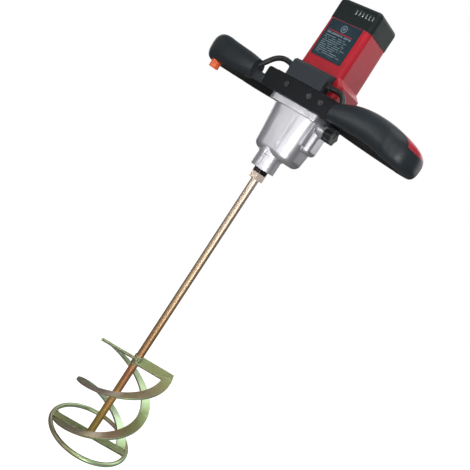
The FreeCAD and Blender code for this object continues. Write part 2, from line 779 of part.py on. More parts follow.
def cable_inlet():
    x = bend_x - 8
    y = bend_y + loop_radius + 6
    sleeve = rod(13.0, V(x, y, inlet_z), V(x, y + 14, inlet_z))
    sleeve = sleeve.fuse(rod(17.0, V(x, y + 5, inlet_z), V(x, y + 9, inlet_z)))
    sleeve = sleeve.cut(rod(8.0, V(x, y - 1, inlet_z), V(x, y + 15, inlet_z)))
    return sleeve.cut(loop(1, right_front, right_bend, right_rear).cut(cable_room())).removeSplitter()


def switch_body():
    half = trigger_length / 2 - 2
    body = box(trigger_x - half, trigger_x + half, -limb_y - 9, -limb_y + 9, z_mid - 7, z_mid + 12)
    edges = [e for e in body.Edges if abs(e.Vertexes[0].Z - e.Vertexes[1].Z) > 1]
    return body.makeFillet(2.0, edges)


def trigger():
    half = trigger_length / 2
    wide = trigger_width / 2
    top = z_mid - 12
    side = [V(trigger_x - half, 0, top), V(trigger_x - half, 0, trigger_z), V(trigger_x + half, 0, trigger_z + 5),
            V(trigger_x + half, 0, top), V(trigger_x - half, 0, top)]
    block = Part.Face(Part.makePolygon(side)).extrude(V(0, 2 * wide, 0))
    block.translate(V(0, -limb_y - wide, 0))
    ends = [e for e in block.Edges if abs(e.Vertexes[0].Y - e.Vertexes[1].Y) > 1
            and e.BoundBox.ZMax < z_mid - 18]
    block = block.makeFillet(3.5, ends)
    for k in range(4):
        x = trigger_x - 16 + k * 10.5
        low = trigger_z + 5 * (x - trigger_x + half) / trigger_length - 2.8
        block = block.cut(rod(8.0, V(x, -limb_y - 20, low), V(x, -limb_y + 20, low)))
    lip = box(trigger_x - half + 3, trigger_x + half - 3, -limb_y - wide - 1.2, -limb_y + wide + 1.2,
              top - 2, top)
    return block.fuse(lip).removeSplitter()


def lock_button():
    low = trigger_z - 9
    button = post(lock_dia, low, z_mid - 13, lock_x, -limb_y)
    rim = [e for e in button.Edges if len(e.Vertexes) == 1 and abs(e.BoundBox.ZMax - low) < 0.01]
    button = button.makeFillet(1.5, rim)
    return button.fuse(post(lock_dia + 3, z_mid - 15, z_mid - 13, lock_x, -limb_y)).removeSplitter()


# Control box and its leads

box_back = (motor_depth + motor_draft) / 2 - motor_offset
gland_level = {-1: z_motor + gland_rise_left, 1: z_motor + gland_rise_right}


def box_profile(grow, x):
    """Side outline of the control box: upright front and a lid sloping up to the motor."""
    front = -box_back - box_depth - grow
    back = -box_back + grow
    low = z_motor - grow
    high = z_motor + box_height + grow
    return [V(x, front, low), V(x, front, high), V(x, front + 5, high + box_slope * 0.6),
            V(x, back, high + box_slope), V(x, back, low), V(x, front, low)]


def box_solid(grow):
    x = -box_width / 2 - grow
    return Part.Face(Part.makePolygon(box_profile(grow, x))).extrude(V(box_width + 2 * grow, 0, 0))


def lid_side():
    return box(-100, 100, -200, lead_y - lead_dia / 2 - 1, 0, 400)


def control_box():
    shell = box_solid(0).cut(box_solid(-box_wall))
    return shell.cut(lid_side()).cut(lead(-1)).cut(lead(1))


def control_box_lid():
    return box_solid(0).cut(box_solid(-box_wall)).common(lid_side())


def control_board():
    back = -box_back - box_wall
    middle = z_motor + box_height / 2
    board = box(-30, 30, back - 3.6, back - 2, middle - 6, middle + 6)
    for x in (-26, 26):
        board = board.fuse(rod(4.0, V(x, back - 2, middle), V(x, back, middle)))
    board = board.fuse(box(-10, 2, back - 8, back - 3.6, middle - 5, middle + 5))
    board = board.fuse(rod(6.0, V(14, back - 8, middle), V(14, back - 3.6, middle)))
    return board.removeSplitter()


lead_y = -box_back - box_depth + lead_dia / 2 + 8


def lead_points(side):
    """Corners of the lead's route from inside the box to inside the grip."""
    z = gland_level[side]
    start = V(side * (box_width / 2 - box_wall), lead_y, z)
    if side < 0:
        return [start, V(-bar_end + 3, lead_y, z + 5), V(-bar_end - 24, -limb_y, z_mid + 4)]
    return [start, V(bar_end - 6, lead_y, z + 2), V(bar_end + 10, -limb_y, z_mid + 4)]


def lead_room(side):
    a, b, c = lead_points(side)
    return rod(lead_dia, b, c)


def lead(side):
    a, b, c = lead_points(side)
    first = (b - a).normalize()
    second = (c - b).normalize()
    turn = first.getAngle(second)
    radius = 0.45 * min((b - a).Length, (c - b).Length) / math.tan(turn / 2)
    cut = radius * math.tan(turn / 2)
    leave = b - first * cut
    join = b + second * cut
    bisector = (second - first).normalize()
    centre = b + bisector * (radius / math.cos(turn / 2))
    middle = centre - bisector * radius
    edges = [Part.LineSegment(a, leave).toShape(), Part.Arc(leave, middle, join).toShape(),
             Part.LineSegment(join, c).toShape()]
    route = Part.Wire(edges)
    circle = Part.Wire([Part.makeCircle(lead_dia / 2, a, first)])
    return route.makePipeShell([circle], True, True)


def gland(side):
    x = side * box_width / 2
    z = gland_level[side]
    boss = rod(lead_dia + 6, V(x, lead_y, z), V(x + side * 3, lead_y, z))
    boss = boss.fuse(rod(lead_dia + 3, V(x + side * 3, lead_y, z), V(x + side * 8, lead_y, z)))
    return boss.cut(lead(side)).removeSplitter()


nodes = {
    "mixing_shaft": mixing_shaft,
    "hex_collar": hex_collar,
    "mixing_ring": mixing_ring,
    "lower_bar": lower_bar,
    "top_arm": top_arm,
    "helical_blade_a": lambda: helical_blade(0),
    "helical_blade_b": lambda: helical_blade(180),
    "output_spindle": output_spindle,
    "output_gear": output_gear,
    "countershaft": countershaft,
    "countershaft_wheel": countershaft_wheel,
    "armature_shaft": armature_shaft,
    "armature_core": armature_core,
    "commutator": commutator,
    "cooling_fan": cooling_fan,
    "gearbox_housing": gearbox_housing,
    "bearing_plate": bearing_plate,
    "neck_seal": neck_seal,
    "spindle_bearing_lower": lambda: bearing(lower_race, spindle_dia),
    "spindle_bearing_upper": lambda: bearing(upper_race, spindle_top_dia),
    "countershaft_bearing_lower": lambda: bearing(counter_race_low, counter_dia, counter_x, counter_y),
    "countershaft_bearing_upper": lambda: bearing(counter_race_high, counter_dia, counter_x, counter_y),
    "armature_bearing_lower": lambda: bearing(armature_race_low, armature_dia, 0, motor_offset),
    "armature_bearing_upper": lambda: bearing(armature_race_high, armature_dia, 0, motor_offset),
    "motor_housing": motor_housing,
    "stator_core": stator_core,
    "field_coil_left": lambda: field_coil(-1),
    "field_coil_right": lambda: field_coil(1),
    "brush_bridge": brush_bridge,
    "motor_cap": motor_cap,
    "nameplate": nameplate,
    "handle_collar": handle_collar,
    "left_grip": left_grip,
    "right_grip": right_grip,
    "left_rear_limb": left_rear_limb,
    "right_rear_limb": right_rear_limb,
    "grip_accent": grip_accent,
    "switch_body": switch_body,
    "control_box": control_box,
    "control_box_lid": control_box_lid,
    "control_board": control_board,
    "gland_left": lambda: gland(-1),
    "gland_right": lambda: gland(1),
    "left_lead": lambda: lead(-1),
    "right_lead": lambda: lead(1),
    "cable_inlet": cable_inlet,
    "trigger": trigger,
    "lock_button": lock_button,
    "selector_knob": selector_knob,
}
for number, place in enumerate(collar_seats(), 1):
    nodes[f"collar_screw_{number}"] = lambda place=place: collar_screw(place)
for number, place in enumerate(flange_seats(), 1):
    nodes[f"flange_screw_{number}"] = lambda place=place: flange_screw(place)

os.makedirs("parts", exist_ok=True)
for name, make in nodes.items():
    shape = make()
    print(name, len(shape.Solids), "solids", shape.isValid(), round(shape.Volume))
    shape.exportStep(f"parts/{name}.step")
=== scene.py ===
import json
import math
import bmesh
import bpy
from mathutils import Matrix, Vector


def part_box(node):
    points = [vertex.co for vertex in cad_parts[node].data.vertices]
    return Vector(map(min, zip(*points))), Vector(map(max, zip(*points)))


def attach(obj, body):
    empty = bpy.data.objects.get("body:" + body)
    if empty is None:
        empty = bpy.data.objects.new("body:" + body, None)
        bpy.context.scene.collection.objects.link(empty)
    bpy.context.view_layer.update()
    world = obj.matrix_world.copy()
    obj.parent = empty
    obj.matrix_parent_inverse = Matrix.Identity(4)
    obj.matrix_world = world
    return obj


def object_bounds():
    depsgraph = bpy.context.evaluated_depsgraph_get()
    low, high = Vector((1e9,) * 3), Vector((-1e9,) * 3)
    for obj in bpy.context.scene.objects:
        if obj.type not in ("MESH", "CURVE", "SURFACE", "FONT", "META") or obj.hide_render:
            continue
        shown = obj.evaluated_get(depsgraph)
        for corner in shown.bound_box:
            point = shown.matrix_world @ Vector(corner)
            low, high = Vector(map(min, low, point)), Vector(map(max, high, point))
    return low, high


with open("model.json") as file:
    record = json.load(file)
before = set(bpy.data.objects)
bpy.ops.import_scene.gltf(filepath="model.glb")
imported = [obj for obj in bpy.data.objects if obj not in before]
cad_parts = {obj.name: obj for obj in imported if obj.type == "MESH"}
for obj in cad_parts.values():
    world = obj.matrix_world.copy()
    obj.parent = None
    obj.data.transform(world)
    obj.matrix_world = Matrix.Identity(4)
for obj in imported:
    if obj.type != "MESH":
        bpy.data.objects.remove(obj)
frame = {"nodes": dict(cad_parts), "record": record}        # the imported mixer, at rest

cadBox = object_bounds()
nodes = frame["nodes"]
scene = bpy.context.scene
print("mixer loaded:", len(nodes), "parts")


# camera: level with the neck, in front of the tool and to its right, rolled so that the tool slants

cameraView = {
    "place": (0.5713, -0.8226, 0.0357),
    "turn": (79.62, -32.92, 39.15),      # degrees about X, Y, Z
    "lens": 45.73,
}


def makeCamera(view):
    data = bpy.data.cameras.new("mixerCamera")
    data.sensor_width = 36.0
    data.lens = view["lens"]
    data.clip_start = 0.02
    data.clip_end = 50.0
    camera = bpy.data.objects.new("mixerCamera", data)
    camera.location = view["place"]
    camera.rotation_euler = [math.radians(a) for a in view["turn"]]
    scene.collection.objects.link(camera)
    scene.camera = camera


makeCamera(cameraView)


# helpers for node trees

def addNode(tree, kind, inputs=None, **settings):
    node = tree.nodes.new(kind)
    for key, value in settings.items():
        setattr(node, key, value)
    for key, value in (inputs or {}).items():
        setInput(tree, node.inputs[key], value)
    return node


def setInput(tree, socket, value):
    if isinstance(value, bpy.types.NodeSocket):
        tree.links.new(value, socket)
    elif isinstance(value, tuple) and socket.type == "RGBA" and len(value) == 3:
        socket.default_value = (*value, 1.0)
    else:
        socket.default_value = value


def calc(tree, operation, first, second=0.0, clamp=False):
    node = addNode(tree, "ShaderNodeMath", {0: first, 1: second}, operation=operation, use_clamp=clamp)
    return node.outputs[0]


def remap(tree, value, low, high, newLow=0.0, newHigh=1.0):
    inputs = {"Value": value, "From Min": low, "From Max": high, "To Min": newLow, "To Max": newHigh}
    return addNode(tree, "ShaderNodeMapRange", inputs).outputs["Result"]


def noiseOf(tree, vector, scale, detail=2.0, rough=0.5):
    inputs = {"Vector": vector, "Scale": scale, "Detail": detail, "Roughness": rough}
    return addNode(tree, "ShaderNodeTexNoise", inputs).outputs["Fac"]


def spread(tree, noise, newLow=0.0, newHigh=1.0):      # most of a noise lies between 0.3 and 0.7
    return remap(tree, noise, 0.3, 0.7, newLow, newHigh)


def blendNumbers(tree, amount, first, second):
    return addNode(tree, "ShaderNodeMix", {0: amount, 2: first, 3: second}, data_type="FLOAT").outputs[0]


def blendColours(tree, amount, first, second, mode="MIX"):
    node = addNode(tree, "ShaderNodeMix", data_type="RGBA", blend_type=mode, clamp_factor=True)
    setInput(tree, node.inputs[0], amount)
    setInput(tree, node.inputs[6], first)
    setInput(tree, node.inputs[7], second)
    return node.outputs[2]


def rampOf(tree, value, stops):
    node = addNode(tree, "ShaderNodeValToRGB", {"Fac": value})
    marks = node.color_ramp.elements
    while len(marks) < len(stops):
        marks.new(0.5)
    for mark, (place, colour) in zip(marks, stops):
        mark.position = place
        mark.color = (*colour, 1.0)
    return node.outputs["Color"]


def objectVector(tree):
    return addNode(tree, "ShaderNodeTexCoord").outputs["Object"]


def stretched(tree, vector, scale):
    return addNode(tree, "ShaderNodeMapping", {"Vector": vector, "Scale": scale}).outputs["Vector"]


def shaderGroup(name, inputs, outputs):
    tree = bpy.data.node_groups.new(name, "ShaderNodeTree")
    for label, kind, value in inputs:
        socket = tree.interface.new_socket(label, in_out="INPUT", socket_type=kind)
        socket.default_value = value
    for label, kind in outputs:
        tree.interface.new_socket(label, in_out="OUTPUT", socket_type=kind)
    entry = tree.nodes.new("NodeGroupInput")
    leave = tree.nodes.new("NodeGroupOutput")
    return tree, entry.outputs, leave.inputs


def useGroup(tree, group, inputs):
    node = addNode(tree, "ShaderNodeGroup", node_tree=group)
    for key, value in inputs.items():
        setInput(tree, node.inputs[key], value)
    return node.outputs


number = "NodeSocketFloat"


# effects that several finishes share

def makeEdgeWearAndSheen():
    tree, given, result = shaderGroup(
        "edgeWearAndSheen",
        [("Radius", number, 0.0008), ("Breakup", number, 300.0), ("Cover", number, 0.5)],
        [("Mask", number)],
    )
    # mask of the edges the bevel picks out, broken up by noise: wear, and on the red motor housing also a
    # painted highlight along its rounded edges
    soft = addNode(tree, "ShaderNodeBevel", {"Radius": given["Radius"]}, samples=4).outputs[0]
    flat = addNode(tree, "ShaderNodeNewGeometry").outputs["Normal"]
    along = addNode(tree, "ShaderNodeVectorMath", {0: soft, 1: flat}, operation="DOT_PRODUCT")
    edge = remap(tree, along.outputs["Value"], 0.995, 0.86)
    patchy = noiseOf(tree, objectVector(tree), given["Breakup"], 4.0, 0.6)
    limit = calc(tree, "SUBTRACT", 1.0, given["Cover"])
    excess = calc(tree, "SUBTRACT", patchy, calc(tree, "MULTIPLY", limit, 0.7))
    broken = calc(tree, "MULTIPLY", excess, 5.0, True)
    tree.links.new(calc(tree, "MULTIPLY", edge, broken, True), result["Mask"])
    return tree


def makeMouldedSkin():
    tree, given, result = shaderGroup(
        "mouldedSkin",
        [("Grain", number, 1800.0), ("Blotch", number, 22.0), ("Scuffs", number, 0.3)],
        [("Height", number), ("Tone", number), ("Gloss", number)],
    )
    place = objectVector(tree)
    fine = noiseOf(tree, place, given["Grain"], 2.0, 0.6)
    coarse = noiseOf(tree, place, calc(tree, "MULTIPLY", given["Grain"], 0.37), 1.0, 0.5)
    height = calc(tree, "ADD", calc(tree, "MULTIPLY", fine, 0.65), calc(tree, "MULTIPLY", coarse, 0.35))
    blotch = noiseOf(tree, place, given["Blotch"], 3.0, 0.55)
    streaks = noiseOf(tree, stretched(tree, place, (900.0, 70.0, 260.0)), 1.0, 3.0, 0.7)
    scuff = calc(tree, "MULTIPLY", remap(tree, streaks, 0.63, 0.75), given["Scuffs"], True)
    tone = calc(tree, "ADD", spread(tree, blotch, 0.9, 1.1), calc(tree, "MULTIPLY", scuff, 0.35))
    gloss = calc(tree, "ADD", spread(tree, blotch, -0.04, 0.05), calc(tree, "MULTIPLY", scuff, 0.14))
    tree.links.new(height, result["Height"])
    tree.links.new(tone, result["Tone"])
    tree.links.new(gloss, result["Gloss"])
    return tree


def makeCastSkin():
    tree, given, result = shaderGroup(
        "castSkin",
        [("Grain", number, 1400.0), ("Flow", number, 30.0)],
        [("Height", number), ("Tone", number), ("Gloss", number)],
    )
    place = objectVector(tree)
    grains = addNode(tree, "ShaderNodeTexVoronoi", {"Vector": place, "Scale": given["Grain"]})
    pits = grains.outputs["Distance"]
    sand = noiseOf(tree, place, calc(tree, "MULTIPLY", given["Grain"], 0.6), 3.0, 0.65)
    height = calc(tree, "ADD", calc(tree, "MULTIPLY", pits, 0.4), calc(tree, "MULTIPLY", sand, 0.6))
    flow = noiseOf(tree, stretched(tree, place, (1.0, 1.0, 0.35)), given["Flow"], 4.0, 0.6)
    tree.links.new(height, result["Height"])
    tree.links.new(spread(tree, flow, 0.9, 1.06), result["Tone"])
    tree.links.new(spread(tree, flow, 0.05, -0.05), result["Gloss"])
    return tree


def makeTurnedLines():
    tree, given, result = shaderGroup(
        "turnedLines",
        [("Pitch", number, 2500.0), ("Drift", number, 18.0)],
        [("Height", number), ("Gloss", number)],
    )
    place = objectVector(tree)
    height = addNode(tree, "ShaderNodeSeparateXYZ", {"Vector": place}).outputs["Z"]
    along = addNode(tree, "ShaderNodeCombineXYZ", {"Z": height}).outputs[0]
    rings = noiseOf(tree, along, given["Pitch"], 3.0, 0.7)
    drift = noiseOf(tree, place, given["Drift"], 3.0, 0.6)
    tree.links.new(rings, result["Height"])
    gloss = calc(tree, "ADD", spread(tree, rings, -0.05, 0.05), spread(tree, drift, -0.06, 0.08))
    tree.links.new(gloss, result["Gloss"])
    return tree


# painted sheen and shade: the zinc is painted lighter green where a face leans this way and darker brown
# where it leans away, as the light falls on it; the film's own tone also varies at random

zincPaintedSheen = {"lean": (0.85, 0.44, 0.3), "brown": -0.12, "green": 0.58}


def makeZincFilmAndPaintedSheen(look):
    tree, given, result = shaderGroup(
        "zincFilmAndPaintedSheen",
        [("Scale", number, 12.0), ("Facing", number, 0.5)],
        [("FilmAndSheen", number), ("Gloss", number)],
    )
    place = objectVector(tree)
    film = noiseOf(tree, stretched(tree, place, (1.0, 1.0, 0.6)), given["Scale"], 2.0, 0.45)
    rinse = noiseOf(tree, place, calc(tree, "MULTIPLY", given["Scale"], 9.0), 4.0, 0.7)
    # painted sheen and shade: faces leaning towards the given direction are painted lighter green, faces
    # leaning away darker brown
    facet = addNode(tree, "ShaderNodeTexCoord").outputs["Normal"]
    lean = addNode(tree, "ShaderNodeVectorMath", {0: facet, 1: look["lean"]}, operation="DOT_PRODUCT")
    paintedSheen = remap(tree, lean.outputs["Value"], look["brown"], look["green"])
    base = blendNumbers(tree, given["Facing"], remap(tree, film, 0.32, 0.68), paintedSheen)
    total = calc(tree, "ADD", base, spread(tree, rinse, -0.07, 0.07), True)
    tree.links.new(total, result["FilmAndSheen"])
    tree.links.new(spread(tree, rinse, -0.05, 0.08), result["Gloss"])
    return tree


edgeWearAndSheen = makeEdgeWearAndSheen()
mouldedSkin = makeMouldedSkin()
castSkin = makeCastSkin()
turnedLines = makeTurnedLines()
zincFilmAndPaintedSheen = makeZincFilmAndPaintedSheen(zincPaintedSheen)
print("shared effects ready")


# finishes

def newFinish(name, colour):
    material = bpy.data.materials.new(name)
    material.use_nodes = True
    material.diffuse_color = (*colour, 1.0)
    tree = material.node_tree
    return material, tree, tree.nodes["Principled BSDF"]


def raised(tree, shader, height, depth, radius):
    soft = addNode(tree, "ShaderNodeBevel", {"Radius": radius}, samples=4).outputs[0]
    inputs = {"Height": height, "Distance": depth, "Strength": 1.0, "Normal": soft}
    bump = addNode(tree, "ShaderNodeBump", inputs)
    tree.links.new(bump.outputs["Normal"], shader.inputs["Normal"])


def toned(tree, colour, tone):
    grey = addNode(tree, "ShaderNodeCombineColor", {"Red": tone, "Green": tone, "Blue": tone}).outputs[0]
    return blendColours(tree, 1.0, colour, grey, "MULTIPLY")


def plasticFinish(name, look):
    material, tree, shader = newFinish(name, look["colour"])
    skin = useGroup(tree, mouldedSkin, {"Grain": look["grain"], "Scuffs": look["scuffs"]})
    wearAndSheenMask = useGroup(tree, edgeWearAndSheen, {"Radius": look["edge"], "Cover": look["wearAndSheen"]})
    body = toned(tree, look["colour"], skin["Tone"])
    # edges take the rubbed colour: wear, and on the motor housing partly a painted pink highlight
    setInput(tree, shader.inputs["Base Color"], blendColours(tree, wearAndSheenMask["Mask"], body, look["rubbedAndSheen"]))
    setInput(tree, shader.inputs["Roughness"], calc(tree, "ADD", look["rough"], skin["Gloss"], True))
    shader.inputs["Specular IOR Level"].default_value = look.get("shine", 0.5)
    shader.inputs["Coat Weight"].default_value = look.get("coat", 0.0)
    shader.inputs["Coat Roughness"].default_value = 0.1
    raised(tree, shader, skin["Height"], look["depth"], look["edge"])
    return material


def metalFinish(name, look):
    material, tree, shader = newFinish(name, look["colour"])
    lines = useGroup(tree, turnedLines, {"Pitch": look["pitch"]})
    wearAndSheenMask = useGroup(tree, edgeWearAndSheen, {"Radius": look["edge"], "Cover": look["wearAndSheen"]})
    drift = noiseOf(tree, objectVector(tree), look["patches"], 4.0, 0.6)
    base = blendColours(tree, remap(tree, drift, 0.35, 0.65), look["colour"], look["second"])
    setInput(tree, shader.inputs["Base Color"], blendColours(tree, wearAndSheenMask["Mask"], base, look["bright"]))
    setInput(tree, shader.inputs["Roughness"], calc(tree, "ADD", look["rough"], lines["Gloss"], True))
    shader.inputs["Metallic"].default_value = look["metal"]
    raised(tree, shader, lines["Height"], look["depth"], look["edge"])
    return material


# gearbox: cast all over, and turned smooth up to the top of the neck

def castAluminium(look):
    material, tree, shader = newFinish("castAluminium", look["colour"])
    skin = useGroup(tree, castSkin, {"Grain": look["grain"]})
    lines = useGroup(tree, turnedLines, {"Pitch": look["pitch"]})
    place = addNode(tree, "ShaderNodeSeparateXYZ", {"Vector": objectVector(tree)}).outputs
    turned = remap(tree, place["Z"], look["neckTop"] + look["blend"], look["neckTop"] - look["blend"])
    height = blendNumbers(tree, turned, skin["Height"], lines["Height"])
    gloss = blendNumbers(tree, turned, skin["Gloss"], lines["Gloss"])
    wearAndSheenMask = useGroup(tree, edgeWearAndSheen, {"Radius": look["edge"], "Cover": look["wearAndSheen"]})
    base = toned(tree, look["colour"], skin["Tone"])
    setInput(tree, shader.inputs["Base Color"], blendColours(tree, wearAndSheenMask["Mask"], base, look["bright"]))
    setInput(tree, shader.inputs["Roughness"], calc(tree, "ADD", look["rough"], gloss, True))
    shader.inputs["Metallic"].default_value = look["metal"]
    raised(tree, shader, height, look["depth"], look["edge"])
    return material


def zincPlate(name, look):
    material, tree, shader = newFinish(name, look["stops"][0][1])
    film = useGroup(tree, zincFilmAndPaintedSheen, {"Scale": look["scale"], "Facing": look["paintedSheen"]})
    wearAndSheenMask = useGroup(tree, edgeWearAndSheen, {"Radius": look["edge"], "Cover": look["wearAndSheen"]})
    # the ramp takes the film's random tone mixed with painted sheen and shade: lighter green on faces leaning
    # one way, darker brown on faces leaning away
    base = rampOf(tree, film["FilmAndSheen"], look["stops"])
    setInput(tree, shader.inputs["Base Color"], blendColours(tree, wearAndSheenMask["Mask"], base, look["bright"]))
    setInput(tree, shader.inputs["Roughness"], calc(tree, "ADD", look["rough"], film["Gloss"], True))
    shader.inputs["Metallic"].default_value = look["metal"]
    grind = useGroup(tree, turnedLines, {"Pitch": look["pitch"]})
    raised(tree, shader, grind["Height"], look["depth"], look["edge"])
    return material


# shaft: gold zinc that turns orange towards its lower end

def goldShaft(look):
    material, tree, shader = newFinish("goldShaft", look["upper"])
    place = addNode(tree, "ShaderNodeSeparateXYZ", {"Vector": objectVector(tree)}).outputs
    film = useGroup(tree, zincFilmAndPaintedSheen, {"Scale": look["scale"], "Facing": 0.0})
    down = remap(tree, place["Z"], look["top"], look["bottom"])
    drift = remap(tree, film["FilmAndSheen"], 0.0, 1.0, -look["drift"], look["drift"])
    shifted = calc(tree, "ADD", down, drift, True)
    base = rampOf(tree, shifted, look["stops"])
    lines = useGroup(tree, turnedLines, {"Pitch": look["pitch"]})
    gloss = calc(tree, "MULTIPLY", lines["Gloss"], look["lineGloss"])
    setInput(tree, shader.inputs["Base Color"], base)
    setInput(tree, shader.inputs["Roughness"], calc(tree, "ADD", look["rough"], gloss, True))
    shader.inputs["Metallic"].default_value = look["metal"]
    raised(tree, shader, lines["Height"], look["depth"], look["edge"])
    return material


# nameplate: slate film with printed rows of plain bars, a thin red band and a blank badge

def within(tree, value, low, high):
    above = calc(tree, "GREATER_THAN", value, low)
    return calc(tree, "MULTIPLY", above, calc(tree, "LESS_THAN", value, high))


def near(tree, value, centre, reach):
    away = calc(tree, "ABSOLUTE", calc(tree, "SUBTRACT", value, centre))
    return calc(tree, "LESS_THAN", away, reach)


def printedRows(tree, across, up, look):
    cells = calc(tree, "MULTIPLY", up, look["rows"])
    row = calc(tree, "FLOOR", cells)
    bar = near(tree, calc(tree, "FRACT", cells), 0.5, look["barHalf"])
    letter = calc(tree, "FLOOR", calc(tree, "MULTIPLY", across, look["letters"]))
    seed = addNode(tree, "ShaderNodeCombineXYZ", {"X": letter, "Y": row}).outputs[0]
    dash = addNode(tree, "ShaderNodeTexWhiteNoise", {"Vector": seed}, noise_dimensions="3D").outputs["Value"]
    rowSeed = addNode(tree, "ShaderNodeTexWhiteNoise", {"W": row}, noise_dimensions="1D").outputs["Value"]
    rowEnd = remap(tree, rowSeed, 0.0, 1.0, *look["rowEnds"])
    printed = calc(tree, "GREATER_THAN", dash, look["rowGaps"])
    inside = calc(tree, "MULTIPLY", within(tree, across, look["margin"], rowEnd),
                  within(tree, up, look["margin"], look["rowsTop"]))
    rows = calc(tree, "MULTIPLY", calc(tree, "MULTIPLY", bar, printed), inside)
    return rows, dash


def badgeMark(tree, across, up, size, look):
    sideways = calc(tree, "MULTIPLY", calc(tree, "SUBTRACT", across, 0.5), size.x)
    upwards = calc(tree, "MULTIPLY", calc(tree, "SUBTRACT", up, look["badgeUp"]), size.z)
    spot = addNode(tree, "ShaderNodeCombineXYZ", {"X": sideways, "Y": upwards}).outputs[0]
    away = addNode(tree, "ShaderNodeVectorMath", {0: spot}, operation="LENGTH").outputs["Value"]
    ring = near(tree, away, look["badge"], look["ringHalf"])
    centre = calc(tree, "LESS_THAN", away, look["badge"] * look["centreShare"])
    return calc(tree, "MAXIMUM", ring, centre)


def printedLabel(look):
    low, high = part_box("nameplate")
    material, tree, shader = newFinish("printedLabel", look["ground"])
    place = addNode(tree, "ShaderNodeSeparateXYZ", {"Vector": objectVector(tree)}).outputs
    across = remap(tree, place["X"], low.x, high.x)
    up = remap(tree, place["Z"], low.z, high.z)
    rows, dash = printedRows(tree, across, up, look)
    fullRow = within(tree, across, look["margin"], look["headEnd"])
    heading = calc(tree, "MULTIPLY", near(tree, up, look["headUp"], look["headHalf"]), fullRow)
    heading = calc(tree, "MULTIPLY", heading, calc(tree, "GREATER_THAN", dash, look["headGaps"]))
    band = calc(tree, "MULTIPLY", near(tree, up, look["bandUp"], look["bandHalf"]), fullRow)
    badge = badgeMark(tree, across, up, high - low, look)
    pale = calc(tree, "MAXIMUM", calc(tree, "MAXIMUM", rows, heading), badge)
    fade = noiseOf(tree, objectVector(tree), look["fade"], 3.0, 0.6)
    ground = blendColours(tree, remap(tree, fade, 0.35, 0.65), look["ground"], look["second"])
    inked = blendColours(tree, calc(tree, "MULTIPLY", pale, look["inkCover"]), ground, look["ink"])
    banded = blendColours(tree, calc(tree, "MULTIPLY", band, look["bandCover"]), inked, look["red"])
    setInput(tree, shader.inputs["Base Color"], banded)
    setInput(tree, shader.inputs["Roughness"], spread(tree, fade, 0.32, 0.42))
    shader.inputs["Specular IOR Level"].default_value = look["shine"]
    raised(tree, shader, pale, look["depth"], look["edge"])
    return material


